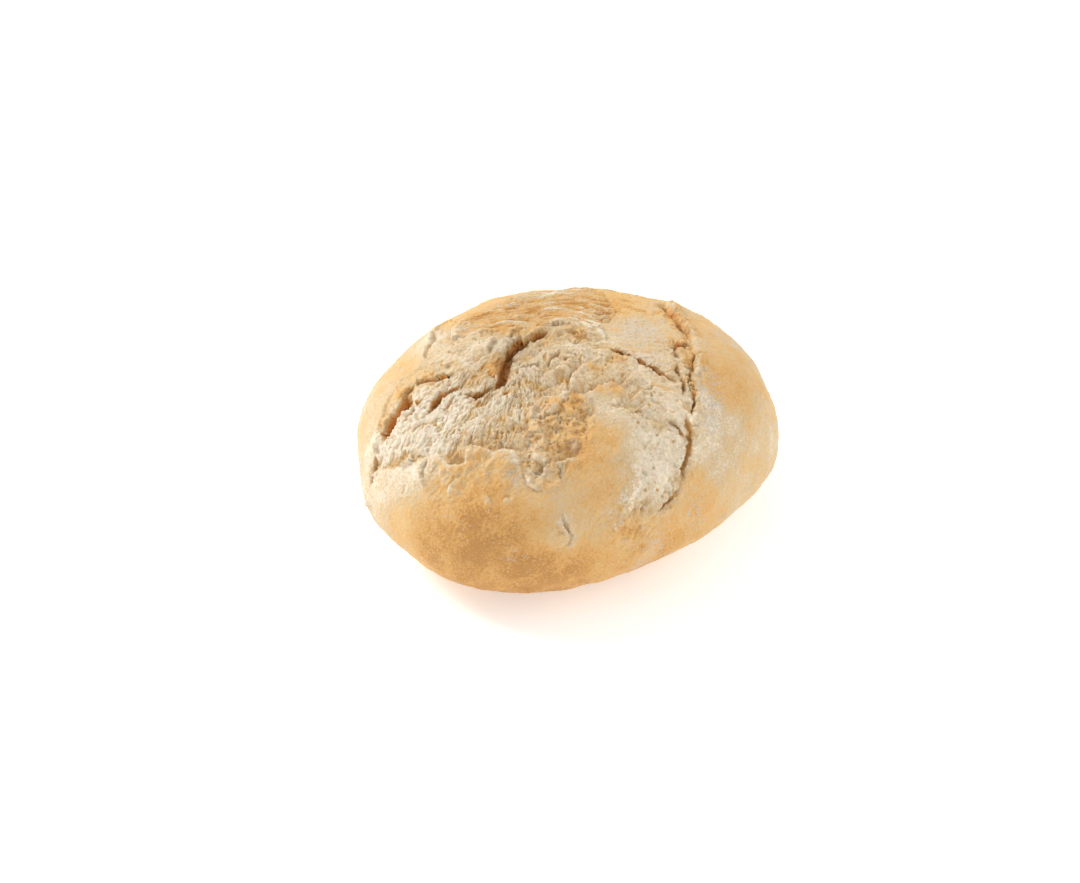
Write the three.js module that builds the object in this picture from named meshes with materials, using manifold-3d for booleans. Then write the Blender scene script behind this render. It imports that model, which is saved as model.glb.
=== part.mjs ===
// A rustic bread roll, baked as one piece: an oval dome that stands on a flat spot, with a floured crust
// that burst along four tears as it rose. Millimetres, +X along the roll, +Z up, and z = 0 is the surface
// that the roll stands on.
import * as THREE from "three";
import { mergeVertices } from "three/addons/utils/BufferGeometryUtils.js";
import Module from "manifold-3d";

// Driving dimensions.
const HALF_LENGTH = 57.5;
const HALF_WIDTH = 48.5;
const HEIGHT = 52.5;
const WAIST_HEIGHT = 19.5; // where the roll is widest
const BELLY_DEPTH = 22.5; // from the waist down to where the belly would close, if the flat spot didn't cut it

// How full the curves are: 2 gives an ellipse, more gives squarer shoulders and less a straighter slope.
const OUTLINE_FULLNESS = 2.15;
const DOME_FULLNESS = 2.35;
const BELLY_FULLNESS = 2.1;

const CROWN_SHIFT = -3; // the top sits this far towards -X of the belly's middle
const BOW = 1.9; // the outline bows towards +Y by this much, as a hand-shaped roll does
const HEART = new THREE.Vector3(0.3, -1.8, 15); // the inner point that every place is seen from

// The mesh: edges along each side of the icosahedron, and how far they crowd towards the top.
const DETAIL = 18;
const CROWDING = 0.3;

const SWELL = 0.5; // low swellings of the crust

// Tears in the crust. A place is [east, north]: its lean away from straight up, in degrees, as seen from
// the heart. Each tear is a valley of this width and depth, with a lip raised along its left side.
const TEARS = [
  {
    route: [[-76, 12], [-66, 11], [-58, 14], [-51, 16], [-45, 15], [-38, 11]],
    width: 8,
    depth: 4,
    lip: 1.2,
  },
  {
    route: [[-37, -3], [-29, 1], [-22, 7], [-15, 12], [-7, 12], [2, 9], [9, 4]],
    width: 9,
    depth: 5,
    lip: 1.6,
  },
  {
    route: [[9, 4], [12, -9], [16, -18], [19, -27], [22, -35]],
    width: 5,
    depth: 2.2,
    lip: 0.6,
  },
  {
    route: [[49, 9], [43, -12], [37, -24], [27, -37], [20, -49], [13, -57], [6, -66], [-8, -72]],
    width: 9,
    depth: 3.6,
    lip: 0.8,
  },
];
const TEAR_STEP = 1; // spacing of the points that a tear's distance is measured from
const END_TAPER = 12; // a tear fades out over this length at each end

// The outline's distance from the heart's axis along a bearing.
function outlineRadius(bearing) {
  const along = Math.abs(Math.cos(bearing) / HALF_LENGTH) ** OUTLINE_FULLNESS;
  const across = Math.abs(Math.sin(bearing) / HALF_WIDTH) ** OUTLINE_FULLNESS;
  const bow = BOW * Math.cos(2 * bearing) * Math.sin(bearing);
  return (along + across) ** (-1 / OUTLINE_FULLNESS) - bow;
}

// True inside the smooth roll: a dome above the widest line, and a belly that draws in below it.
function isInside(point) {
  const rise = Math.max(0, (point.z - WAIST_HEIGHT) / (HEIGHT - WAIST_HEIGHT));
  const drop = Math.max(0, (WAIST_HEIGHT - point.z) / BELLY_DEPTH);
  const x = point.x - HEART.x - CROWN_SHIFT * rise;
  const y = point.y - HEART.y;
  const share = Math.hypot(x, y) / outlineRadius(Math.atan2(y, x));
  if (rise > 0) return share ** DOME_FULLNESS + rise ** DOME_FULLNESS < 1;
  return share ** BELLY_FULLNESS + drop ** BELLY_FULLNESS < 1;
}

// The point of the smooth roll that is seen from the heart in a direction, by halving.
function surfacePoint(direction) {
  let near = 0;
  let far = 2 * HALF_LENGTH;
  const point = new THREE.Vector3();
  while (far - near > 1e-5) {
    const middle = (near + far) / 2;
    point.copy(HEART).addScaledVector(direction, middle);
    if (isInside(point)) near = middle;
    else far = middle;
  }
  return point;
}

// The direction of a place given as [east, north] degrees of lean.
function directionOf([east, north]) {
  const lean = THREE.MathUtils.degToRad(Math.hypot(east, north));
  const bearing = Math.atan2(north, east);
  const outwards = Math.sin(lean);
  return new THREE.Vector3(outwards * Math.cos(bearing), outwards * Math.sin(bearing), Math.cos(lean));
}

// Evenly spaced points along a tear, on the smooth roll.
function tearPoints(tear) {
  const curve = new THREE.CatmullRomCurve3(tear.route.map((place) => surfacePoint(directionOf(place))));
  return curve.getSpacedPoints(Math.round(curve.getLength() / TEAR_STEP));
}

// The height that a tear adds at a point: a valley, and a lip along its left side.
function tearRelief(tear, points, point, normal) {
  let nearest = 0;
  points.forEach((candidate, i) => {
    if (point.distanceToSquared(candidate) < point.distanceToSquared(points[nearest])) nearest = i;
  });
  const before = points[Math.max(0, nearest - 1)];
  const after = points[Math.min(points.length - 1, nearest + 1)];
  const left = new THREE.Vector3().subVectors(after, before).cross(normal).negate().normalize();
  const offset = new THREE.Vector3().subVectors(point, points[nearest]);
  const aside = offset.length() * Math.sign(offset.dot(left));
  const toEnd = TEAR_STEP * Math.min(nearest, points.length - 1 - nearest);
  const fade = THREE.MathUtils.smoothstep(toEnd, -TEAR_STEP, END_TAPER);
  const valley = -tear.depth * Math.exp(-(((2.2 * aside) / tear.width) ** 2));
  const lip = tear.lip * Math.exp(-(((aside - tear.width) / (0.6 * tear.width)) ** 2));
  return fade * (valley + lip);
}

// Low swellings, which fade out towards the belly.
function swelling({ x, y, z }) {
  const waves = Math.sin(5 * x + 2 * y + 1) + Math.sin(6 * y - 3 * z) + Math.sin(7 * z + 4 * x - 2 * y);
  return SWELL * waves * THREE.MathUtils.smoothstep(z, -0.2, 0.4);
}

// The whole skin, still round underneath: an icosahedron's fine mesh, crowded towards the top and drawn
// out to the roll, with the tears and swellings on it.
function skinGeometry() {
  const sphere = new THREE.IcosahedronGeometry(1, DETAIL);
  sphere.deleteAttribute("normal");
  sphere.deleteAttribute("uv");
  const skin = mergeVertices(sphere);
  const places = skin.getAttribute("position");
  const directions = [];
  for (let i = 0; i < places.count; i += 1) {
    const ball = new THREE.Spherical().setFromVector3(new THREE.Vector3().fromBufferAttribute(places, i));
    ball.phi *= 1 - CROWDING + (CROWDING * ball.phi) / Math.PI;
    const drawn = new THREE.Vector3().setFromSpherical(ball);
    const direction = new THREE.Vector3(drawn.x, -drawn.z, drawn.y); // the icosahedron's +Y turned to +Z
    directions.push(direction);
    places.setXYZ(i, ...surfacePoint(direction));
  }
  skin.computeVertexNormals();
  const normals = skin.getAttribute("normal");
  const tears = TEARS.map((tear) => ({ tear, points: tearPoints(tear) }));
  for (let i = 0; i < places.count; i += 1) {
    const point = new THREE.Vector3().fromBufferAttribute(places, i);
    const normal = new THREE.Vector3().fromBufferAttribute(normals, i);
    const relief = tears.map(({ tear, points }) => tearRelief(tear, points, point, normal));
    const height = swelling(directions[i]) + Math.min(...relief, 0) + Math.max(...relief, 0);
    places.setXYZ(i, ...point.addScaledVector(normal, height));
  }
  skin.deleteAttribute("normal");
  return skin;
}

// Cuts everything below z = 0 off a closed geometry, which leaves the flat spot.
async function standOnFloor(geometry) {
  const wasm = await Module();
  wasm.setup();
  const side = 4 * HALF_LENGTH;
  const room = new THREE.BoxGeometry(side, side, side).translate(0, 0, side / 2);
  room.deleteAttribute("normal");
  room.deleteAttribute("uv");
  const [rollSolid, roomSolid] = [geometry, mergeVertices(room)].map(
    (closed) =>
      new wasm.Manifold(
        new wasm.Mesh({
          numProp: 3,
          vertProperties: closed.getAttribute("position").array,
          triVerts: new Uint32Array(closed.index.array),
        }),
      ),
  );
  const cut = rollSolid.intersect(roomSolid).getMesh();
  const standing = new THREE.BufferGeometry();
  standing.setAttribute("position", new THREE.BufferAttribute(cut.vertProperties, cut.numProp));
  standing.setIndex(new THREE.BufferAttribute(cut.triVerts, 1));
  standing.computeVertexNormals();
  return standing;
}

const crust = new THREE.MeshStandardMaterial({ color: 0xdfb77c, roughness: 0.75, metalness: 0 });
const breadRoll = new THREE.Mesh(await standOnFloor(skinGeometry()), crust);
breadRoll.name = "bread_roll";

const roll = new THREE.Group();
roll.add(breadRoll);

export default roll;
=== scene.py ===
# %% [markdown]
# # A rustic bread roll, from smooth form to torn crumb
# The roll is an oval dome of dough that was dusted with flour and baked free on a tray. Its skin set before
# the dough had finished rising, so it burst: pale crumb shows in the tears, and the skin that stayed whole
# turned golden to brown. The lesson makes it as one closed skin. First comes the smooth form, then the
# tears, flaps, fibres and pores are worked into it, then its colours, and last the flour that lies on it.
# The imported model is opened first, because it fixes the roll's place and size.

# %% Open the frame
import math

import bpy
import numpy as np
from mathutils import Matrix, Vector, noise


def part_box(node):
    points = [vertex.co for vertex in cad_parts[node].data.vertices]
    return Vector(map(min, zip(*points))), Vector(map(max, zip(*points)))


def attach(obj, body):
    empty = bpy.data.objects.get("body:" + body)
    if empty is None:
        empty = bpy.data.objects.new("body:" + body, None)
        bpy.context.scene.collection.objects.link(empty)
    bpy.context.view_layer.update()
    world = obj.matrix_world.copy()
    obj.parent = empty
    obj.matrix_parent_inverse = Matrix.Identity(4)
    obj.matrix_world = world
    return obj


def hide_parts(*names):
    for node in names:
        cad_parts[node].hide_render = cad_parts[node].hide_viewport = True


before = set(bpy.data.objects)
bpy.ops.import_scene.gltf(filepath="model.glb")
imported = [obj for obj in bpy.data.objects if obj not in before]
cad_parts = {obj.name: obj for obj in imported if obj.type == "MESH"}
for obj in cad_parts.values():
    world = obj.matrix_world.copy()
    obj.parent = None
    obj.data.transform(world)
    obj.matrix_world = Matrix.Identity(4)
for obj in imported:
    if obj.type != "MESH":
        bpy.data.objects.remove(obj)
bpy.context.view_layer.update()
MM = 0.001
lowest, highest = (np.array(corner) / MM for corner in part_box("bread_roll"))
length, width, tall = highest - lowest
print(f"the roll is {length:.1f} mm long, {width:.1f} mm wide and {tall:.1f} mm tall")

# %% [markdown]
# ## Camera
# A long lens from most of an arm's length away keeps the roll's shape true, where a wide lens close by would
# swell the near side. The camera looks down from the roll's left front corner. It is moved sideways as a
# whole, not turned, so that the roll sits a little right of and above the middle of the picture.

# %% Camera
CAMERA_AZIMUTH = math.radians(-36)
CAMERA_ELEVATION = math.radians(37)
CAMERA_DISTANCE = 0.7
LENS = 88.4
SENSOR_WIDTH = 36
ROLL_MIDDLE = Vector((0, 0, 0.026))
OFF_CENTRE_RIGHT = 0.006
OFF_CENTRE_UP = 0.0051

right = Vector((math.cos(CAMERA_AZIMUTH), math.sin(CAMERA_AZIMUTH), 0))
level = Vector((-math.sin(CAMERA_AZIMUTH), math.cos(CAMERA_AZIMUTH), 0))
forward = level * math.cos(CAMERA_ELEVATION) - Vector((0, 0, math.sin(CAMERA_ELEVATION)))
up = right.cross(forward)
lens_data = bpy.data.cameras.new("camera")
lens_data.lens = LENS
lens_data.sensor_width = SENSOR_WIDTH
camera = bpy.data.objects.new("camera", lens_data)
bpy.context.collection.objects.link(camera)
aim = ROLL_MIDDLE - right * OFF_CENTRE_RIGHT - up * OFF_CENTRE_UP
camera.location = aim - forward * CAMERA_DISTANCE
camera.rotation_euler = forward.to_track_quat("-Z", "Y").to_euler()
bpy.context.scene.camera = camera
print("the camera stands at", [round(value, 3) for value in camera.location])

# %% [markdown]
# ## The smooth form
# The roll is an oval in plan, with a dome above its widest line and a belly that draws in below it to the
# flat spot. It could be modelled by hand from a ball, but a formula keeps it exact and easy to change: a
# point's share of the way out to the oval and its share of the way up to the top are joined as in an
# ellipse, with a fullness above 2 where the shoulders are squarer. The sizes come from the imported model.
# Every place on the roll is seen from one inner point, the heart, so that one direction meets the skin once.

# %% The form's measures, in millimetres
HALF_LENGTH = length / 2
HALF_WIDTH = width / 2
HEIGHT = 0.98 * tall
WAIST = 0.37 * HEIGHT
BELLY = 0.43 * HEIGHT
OUTLINE_FULLNESS = 2.15
DOME_FULLNESS = 2.35
BELLY_FULLNESS = 2.1
FOOT_SHARPNESS = 30
CROWN_SHIFT = -3
BOW = 1.9
HEART = np.array([0.3, -1.8, 15])
HALVINGS = 24


def fullness_at(points):
    """Less than 1 inside the smooth roll, 1 on its skin."""
    rise = np.clip((points[:, 2] - WAIST) / (HEIGHT - WAIST), 0, None)
    drop = np.clip((WAIST - points[:, 2]) / BELLY, 0, None)
    east = points[:, 0] - HEART[0] - CROWN_SHIFT * rise
    north = points[:, 1] - HEART[1]
    bearing = np.arctan2(north, east)
    oval = np.abs(np.cos(bearing) / HALF_LENGTH) ** OUTLINE_FULLNESS
    oval += np.abs(np.sin(bearing) / HALF_WIDTH) ** OUTLINE_FULLNESS
    edge = oval ** (-1 / OUTLINE_FULLNESS) - BOW * np.cos(2 * bearing) * np.sin(bearing)
    share = np.hypot(east, north) / edge
    dome = (share**DOME_FULLNESS + rise**DOME_FULLNESS) ** (1 / DOME_FULLNESS)
    belly = (share**BELLY_FULLNESS + drop**BELLY_FULLNESS) ** (1 / BELLY_FULLNESS)
    foot = np.clip(1 - points[:, 2] / HEART[2], 0, None)
    body = np.where(rise > 0, dome, belly)
    return (body**FOOT_SHARPNESS + foot**FOOT_SHARPNESS) ** (1 / FOOT_SHARPNESS)


def skin_at(directions):
    """The points of the smooth skin that lie in these directions from the heart, by halving."""
    near = np.zeros(len(directions))
    far = np.full(len(directions), 2 * HALF_LENGTH)
    for _ in range(HALVINGS):
        middle = (near + far) / 2
        inside = fullness_at(HEART + directions * middle[:, None]) < 1
        near = np.where(inside, middle, near)
        far = np.where(inside, far, middle)
    return HEART + directions * near[:, None]


print("the top is at", skin_at(np.array([[0.0, 0.0, 1.0]])).round(2))

# %% [markdown]
# ## A fine ball, drawn out to the form
# A ball made of rings has pinched poles, so this one starts as a cube that is cut finely and blown up to a
# ball, which leaves faces of nearly one size. Its points crowd towards the top, where the torn crumb needs
# them. This skin has many more faces than the finished one: it is the clay that the tears are worked into,
# and the last step of the shape thins it out again.

# %% The fine skin
CUTS = 8
CROWDING = 0.42


def unit(vectors):
    """Vectors of length 1."""
    return vectors / np.linalg.norm(vectors, axis=1)[:, None]


def plain_mesh(thing, name):
    """The object's shape with its modifiers applied, as a new mesh."""
    evaluated = thing.evaluated_get(bpy.context.evaluated_depsgraph_get())
    mesh = bpy.data.meshes.new_from_object(evaluated)
    mesh.name = name
    return mesh


def positions_of(mesh):
    flat = np.empty(3 * len(mesh.vertices))
    mesh.vertices.foreach_get("co", flat)
    return flat.reshape(-1, 3)


bpy.ops.mesh.primitive_cube_add(size=2)
cube = bpy.context.object
cutter = cube.modifiers.new("cuts", "SUBSURF")
cutter.subdivision_type = "SIMPLE"
cutter.levels = CUTS
clay = plain_mesh(cube, "clay")
bpy.data.objects.remove(cube)

ball = unit(np.tan(positions_of(clay) * math.pi / 4))
lean = np.arccos(np.clip(ball[:, 2], -1, 1))
lean *= 1 - CROWDING + CROWDING * lean / math.pi
bearing = np.arctan2(ball[:, 1], ball[:, 0])
out = np.sin(lean)
directions = np.column_stack([out * np.cos(bearing), out * np.sin(bearing), np.cos(lean)])
smooth = skin_at(directions)
clay.vertices.foreach_set("co", smooth.ravel())
normals = np.empty(smooth.size)
clay.vertices.foreach_get("normal", normals)
normals = normals.reshape(-1, 3)
print(len(smooth), "points on the fine skin")

# %% [markdown]
# ## Places and routes
# A place on the roll is written as [east, north]: how far its direction leans away from straight up, in
# degrees, as seen from the heart. A route is a smooth line through a few such places, and every tear and
# flap is measured from one: how far along it a point lies, and how far aside, counted positive on the left.
# A straight measure would give edges like cut paper. So the points are first moved about a little by noise,
# and the edges come out ragged, as torn crust does. The noise starts from a fixed seed, so that the roll
# tears the same way each time.

# %% Places, routes and ragged edges
STEP = 0.5
NOISE_SEED = 5
SEED_SHIFT = 31.7

noise.seed_set(NOISE_SEED)


def cloud(points, grain, octaves=3, seed=0):
    """Soft noise about 0, within about 1 either way, with blotches about one grain wide."""
    shifted = points / grain + SEED_SHIFT * seed
    return np.array([noise.fractal(point, 1, 2, octaves) for point in shifted.tolist()])


def wander(points, grain, seed=0):
    """A soft random vector at each point, each part within about 1 either way."""
    shifted = points / grain + SEED_SHIFT * seed
    return np.array([noise.noise_vector(point)[:] for point in shifted.tolist()])


def ease(value, start, end):
    """0 before start, 1 after end, and a smooth change between them."""
    share = np.clip((value - start) / (end - start), 0, 1)
    return share * share * (3 - 2 * share)


def bell(value, reach):
    """1 at 0, falling away to nearly nothing at twice the reach."""
    return np.exp(-((value / reach) ** 2))


def direction_of(places):
    places = np.array(places, float)
    lean = np.radians(np.hypot(places[:, 0], places[:, 1]))
    bearing = np.arctan2(places[:, 1], places[:, 0])
    return np.column_stack([np.sin(lean) * np.cos(bearing), np.sin(lean) * np.sin(bearing), np.cos(lean)])


def place_of(points):
    away = unit(points - HEART)
    lean = np.degrees(np.arccos(np.clip(away[:, 2], -1, 1)))
    bearing = np.arctan2(away[:, 1], away[:, 0])
    return np.column_stack([lean * np.cos(bearing), lean * np.sin(bearing)])


def curve_through(corners, closed=False):
    """A Catmull-Rom curve through the corners, with eight points to each side."""
    corners = np.array(corners, float)
    if closed:
        ends = np.vstack([corners[-1:], corners, corners[:2]])
    else:
        ends = np.vstack([2 * corners[:1] - corners[1:2], corners, 2 * corners[-1:] - corners[-2:-1]])
    curve = []
    for before, start, end, after in zip(ends, ends[1:], ends[2:], ends[3:]):
        for t in np.arange(0, 1, 1 / 8):
            bend = (2 * before - 5 * start + 4 * end - after) * t**2
            bend += (3 * start - before - 3 * end + after) * t**3
            curve.append(start + ((end - before) * t + bend) / 2)
    return np.array(curve if closed else curve + [corners[-1]])


class Route:
    """A smooth line on the roll, as evenly spaced points with the direction to their left."""

    def __init__(self, places):
        rough = skin_at(direction_of(curve_through(places)))
        lengths = np.append(0, np.cumsum(np.linalg.norm(np.diff(rough, axis=0), axis=1)))
        self.length = lengths[-1]
        marks = np.linspace(0, self.length, max(4, round(self.length / STEP)))
        self.points = np.column_stack([np.interp(marks, lengths, rough[:, i]) for i in range(3)])
        self.spacing = marks[1]
        self.along = unit(np.gradient(self.points, axis=0))
        self.left = unit(np.cross(unit(self.points - HEART), self.along))

    def measure(self, points, reach):
        """The rows of the points within reach, with their aside, along and the direction to the left."""
        close = np.all((points > self.points.min(0) - reach) & (points < self.points.max(0) + reach), axis=1)
        rows = np.flatnonzero(close)
        squares = (self.points**2).sum(1) - 2 * points[rows] @ self.points.T
        nearest = squares.argmin(1)
        offset = points[rows] - self.points[nearest]
        gap = np.linalg.norm(offset, axis=1)
        rows, nearest, offset = rows[gap < reach], nearest[gap < reach], offset[gap < reach]
        aside = (offset * self.left[nearest]).sum(1)
        along = nearest * self.spacing + (offset * self.along[nearest]).sum(1)
        return rows, aside, along, self.left[nearest]


bent = smooth + 0.5 * wander(smooth, 5, 0) + 0.35 * wander(smooth, 1.8, 1)
ragged = bent + 0.35 * wander(smooth, 0.8, 2)
places = place_of(smooth)
ragged_places = place_of(ragged)
height = np.zeros(len(smooth))
slide = np.zeros_like(smooth)
shade = np.zeros(len(smooth))
roughness = np.zeros(len(smooth))
rims = np.zeros(len(smooth))
print(f"the edges are ragged by up to {np.abs(ragged - smooth).max():.2f} mm")

# %% [markdown]
# ## Crust and crumb
# Baked dough that burst shows three finishes: the smooth skin, the pale crumb inside, and the ridge of
# stretched skin at the top that caught most heat and browned. Their borders are drawn as outlines on the
# roll. The signed distance to an outline says how deep inside it a point is, so that one outline serves a
# sharp step, a soft change of colour and a mask for the crumb's pores. In a few spots the crumb passes into
# the crust without a step, and there the border is widened: each spot has its reach in degrees and the
# width that it adds, in millimetres. The ridge fades out towards the back between two northings.

# %% Outlines of the torn crumb, the browned ridge and the flaky patch
DEGREE = 0.78  # millimetres on the skin, about
SHARP_BORDER = 0.4
SOFT_BORDERS = [([-2, -42], 12, 5.0), ([-52, -20], 14, 0.9), ([-14, -52], 6, 1.5)]
RIDGE_FADE = (36, 54)
TORN_CRUMB = [
    [-78, 14], [-71, 13.5], [-66, 17], [-58, 24], [-50, 28], [-44, 30], [-39.5, 30], [-38.5, 33], [-36, 36],
    [-33, 39], [-30.5, 41], [-27, 45], [-23, 50], [-18, 54], [-15, 50], [-17, 43], [-21, 41], [-25, 38],
    [-26.5, 34], [-24, 31], [-18, 27], [-12, 22], [-6, 18.5], [0, 16], [5, 13], [9, 8], [11, 2], [13, -6],
    [15, -4], [17, 1], [19, 5], [24, 5], [28.5, 10], [31, 15], [33, 22], [38, 30], [46, 36], [54, 36],
    [58, 26], [56, 14], [51, 4], [48, -6], [46, -12], [43.5, -17.5], [40, -23], [37.5, -27], [32, -33],
    [28.5, -35.5], [27, -40], [24.5, -44], [22.5, -46.5], [19, -49.5], [16.5, -53], [14.5, -57],
    [12.5, -61.5], [8, -66.5], [3, -69.8], [-2, -72.3], [-8, -73.5], [-15, -74.2], [-21, -72.5], [-21, -69],
    [-16.5, -66], [-12, -63.5], [-11, -60], [-9, -56.5], [-7, -52], [-5.5, -47], [-4, -42], [-5, -36],
    [-2, -31], [-4, -27], [-9, -27], [-14, -26.5], [-20, -24], [-25, -21.5], [-30, -21], [-35, -25],
    [-39, -29], [-41.5, -31], [-44, -28.5],
    [-47.5, -24.5], [-50, -21], [-52, -17.5], [-54, -18.5], [-56, -19], [-58.5, -17], [-59, -12],
    [-61, -7.5], [-65, -4], [-69, 1], [-73, 7],
]
BROWNED_RIDGE = [
    [-26, 35], [-24, 38], [-21, 41], [-17, 43], [-15, 50], [-8, 56], [6, 58], [22, 54], [34, 46],
    [38, 36], [33, 22], [31, 15], [28.5, 10], [24, 5], [19, 5], [17, 1], [15, -4], [13, -7], [11, 2],
    [9, 8], [5, 13], [0, 16], [-6, 18.5], [-12, 22], [-18, 27], [-23, 31],
]
FLAKY_PATCH = [
    [-24, -21], [-14, -26], [-13, -33], [-18, -40], [-25, -45], [-33, -46], [-40, -48], [-44, -42],
    [-44, -34], [-39, -28], [-33, -23],
]


def depth_inside(outline, spots):
    """How far inside a closed outline each spot is, in millimetres, less than 0 outside it."""
    line = curve_through(outline, closed=True)
    squares = (line**2).sum(1) - 2 * spots @ line.T
    gap = np.sqrt(np.maximum(squares.min(1) + (spots**2).sum(1), 0))
    crossings = np.zeros(len(spots), int)
    for (x0, y0), (x1, y1) in zip(line, np.roll(line, -1, axis=0)):
        if y0 == y1:
            continue
        spans = (spots[:, 1] > y0) != (spots[:, 1] > y1)
        crossings += spans & (spots[:, 0] < x0 + (spots[:, 1] - y0) * (x1 - x0) / (y1 - y0))
    return DEGREE * np.where(crossings % 2 == 1, gap, -gap)


torn_depth = depth_inside(TORN_CRUMB, ragged_places) + 0.8 * cloud(smooth, 3.5, 4, 21)
ridge_depth = depth_inside(BROWNED_RIDGE, ragged_places)
flaky_depth = depth_inside(FLAKY_PATCH, ragged_places)
softness = np.full(len(smooth), SHARP_BORDER)
for (east, north), reach, spread in SOFT_BORDERS:
    softness += spread * bell(np.hypot(places[:, 0] - east, places[:, 1] - north), reach)
crumb = ease(torn_depth, -softness, softness)
northing = places[:, 1] + 3 * cloud(smooth, 6, 3, 22)
ridge = ease(ridge_depth, -0.4, 1.5) * (1 - ease(northing, *RIDGE_FADE))
flaky = ease(flaky_depth, -1, 3)
print(f"crumb covers {crumb.mean():.0%} of the points, the ridge {ridge.mean():.0%}")

# %% [markdown]
# ## Tears
# Where the skin gave way, a dark gap opens under a lip of crust. Each tear is a valley beside a route that
# follows the lip: the wall under the lip is steep, and the floor rises gently on the other side, where the
# crumb was pulled out. The points near the lip also slide over the valley and those at the bottom slide
# back under it, which makes the real overhang that a height alone could not give. The valley is also
# painted darker, as painted shade, and more so the deeper the tear. Each tear is a route with its width,
# depth, lip and overhang in millimetres.

# %% Tears
TEAR_END = 4.0
EDGE_REACH = 2.2


def open_tear(route, width, depth, lip, overhang, steep=0.34):
    """Presses a valley to the right of a route, and raises and overhangs the crust on its left."""
    line = Route(route)
    rows, aside, along, left = line.measure(bent, width + 5)
    taper = ease(along, -0.5, TEAR_END) * ease(line.length - along, -0.5, TEAR_END)
    span = width * (0.4 + 0.6 * taper)
    across = -aside / span
    hollow = taper * ease(across, 0, steep) * (1 - ease(across, 0.4, 1))
    height[rows] -= depth * hollow
    height[rows] += lip * taper * bell(aside - 0.7, 1.6) * ease(aside, -0.5, 0.3)
    lean = np.where(aside > 0, bell(aside, 2), 1 + 2 * np.clip(aside / (steep * span), -1, 0))
    lean = np.where(aside < -steep * span, -(1 - ease(across, steep, 0.6)), lean)
    slide[rows] -= overhang * (taper * lean)[:, None] * left
    # painted shade: the floor of the valley is coloured darker under the lip, more so in deeper tears
    painted_shade = taper * ease(across, -0.04, 0.12) * (1 - ease(across, 0.35, 0.85))
    shade[rows] = np.maximum(shade[rows], painted_shade * min(1, 0.35 + depth / 5))
    roughness[rows] = np.maximum(roughness[rows], taper * bell(aside + 0.3 * span, EDGE_REACH + 0.3 * span))


TEARS = [
    ([[-79, 13], [-75, 12.5], [-71, 13], [-67, 13.5]], 1.4, 1.2, 0.3, 0.3),
    ([[-66.5, 12.5], [-65, 15.5], [-62.5, 18], [-59, 18.5], [-55.5, 18.5], [-53, 20], [-50.5, 21]],
     4.8, 3.0, 0.8, 0.9),
    ([[-54, 20], [-51, 21.5], [-48, 21.5], [-45, 19.5], [-42, 16.5], [-39, 15], [-35.5, 13.5]],
     2.8, 1.9, 0.6, 0.5),
    ([[-58, 14], [-55.5, 14.5], [-53, 13], [-50, 11]], 1.8, 1.4, 0.2, 0.4),
    ([[-54, 5.5], [-51, 8], [-47.5, 9.5], [-44, 9], [-40.5, 6]], 2.6, 2.3, 0.3, 0.6),
    ([[-43.5, 2], [-41, -0.5], [-38.5, -1.5], [-35, -3]], 2.2, 2.3, 0.5, 0.8),
    ([[-37, -5], [-34.5, -0.5], [-31.5, 3], [-28, 6.6], [-24, 9.5], [-20, 12]], 5.0, 3.2, 0.9, 1.0),
    ([[-25, 9], [-20, 12], [-16, 13.2], [-10.3, 14.2], [-4, 14], [0.5, 11.5]], 3.6, 2.6, 1.0, 0.9),
    ([[3, 8.5], [6.5, 5], [7.5, 1], [9, -4]], 2.2, 0.9, 0.5, 0.4),
    ([[10.5, -9], [13, -11], [15, -14.5], [16, -17.5], [18, -20.5], [19.5, -23.5], [20.5, -27.5],
      [22, -31.5], [24, -35]], 1.7, 1.9, 0.35, 0.5),
    ([[21.5, -41], [22.3, -39], [24, -35.5], [25.7, -31.8], [28, -27.5], [31, -26]], 2.0, 2.4, 0.3, 0.5),
    ([[32, -26], [31.5, -22], [34.5, -17.5], [39.5, -17], [43, -13]], 2.2, 1.8, 0.3, 0.4),
    ([[55, 14], [53, 9], [51, 3], [48.5, -5], [46.5, -11.5], [44.5, -16]], 3.2, 1.5, 0.2, 0.5),
    ([[41, -21], [38.5, -25.5], [33, -32], [29.5, -35.5], [28, -40], [24.5, -45], [20, -49.5]],
     1.3, 1.1, 0.4, 0.4),
    ([[19, -46.5], [18.5, -50], [17.5, -54], [15, -57.5], [12, -61.5], [8.5, -65], [5, -68.5]],
     2.6, 1.2, 0.4, 0.4),
    ([[-42.5, -54], [-43.2, -56.5], [-43.5, -59], [-45.5, -61]], 0.7, 0.7, 0.1, 0.1),
    ([[10, -47.8], [13, -49.5], [13.5, -52.5], [13, -56]], 1.3, 1.2, 0.2, 0.3),
    ([[5, -68.5], [1, -71], [-4, -72.8], [-10, -74]], 1.2, 1.0, 0.15, 0.2),
    ([[-17.5, -71.5], [-14.5, -69.5], [-13, -66.5]], 1.1, 1.0, 0.1, 0.2),
]
for tear_route, tear_width, tear_depth, tear_lip, tear_overhang in TEARS:
    open_tear(tear_route, tear_width, tear_depth, tear_lip, tear_overhang)
print(f"{len(TEARS)} tears, the deepest {-height.min():.1f} mm")

# %% [markdown]
# ## Flaps and steps
# Around the tears the skin lifted and broke off in layers, so the surface steps down from crust to crumb.
# A step has a raised edge on the left of its route and a trough on its right, and both die away, so that a
# short step ends in the surface as a real flap does. Its thin rim stayed paler than the crust. Each flap is
# a route with its lift, its dip and its reach in millimetres.

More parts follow.
